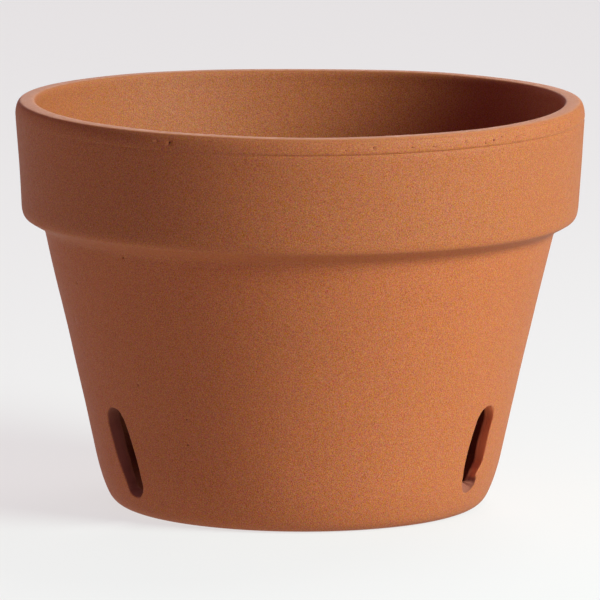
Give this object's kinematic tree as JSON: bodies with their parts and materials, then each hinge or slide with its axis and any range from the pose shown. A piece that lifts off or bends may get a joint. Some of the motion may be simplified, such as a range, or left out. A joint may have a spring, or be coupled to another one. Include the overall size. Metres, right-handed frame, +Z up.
{
  "type": "orchid pot",
  "caption": "Round tapered terracotta pot with a deep rim band, upright vents low in the wall and a drain hole.",
  "frame": {"origin": "on the ground under the middle of the pot, at the height of its foot ring", "axes": "+Z up along the pot's axis; one vent faces +Y and the other two are 58 degrees either side of -Y, the pot's front"},
  "size_m": [0.203, 0.203, 0.144],
  "materials": {
    "terracotta": "unglazed fired clay, matt, fine sandy grain"
  },
  "bodies": {
    "root": {"pot": "terracotta"}
  },
  "joints": []
}
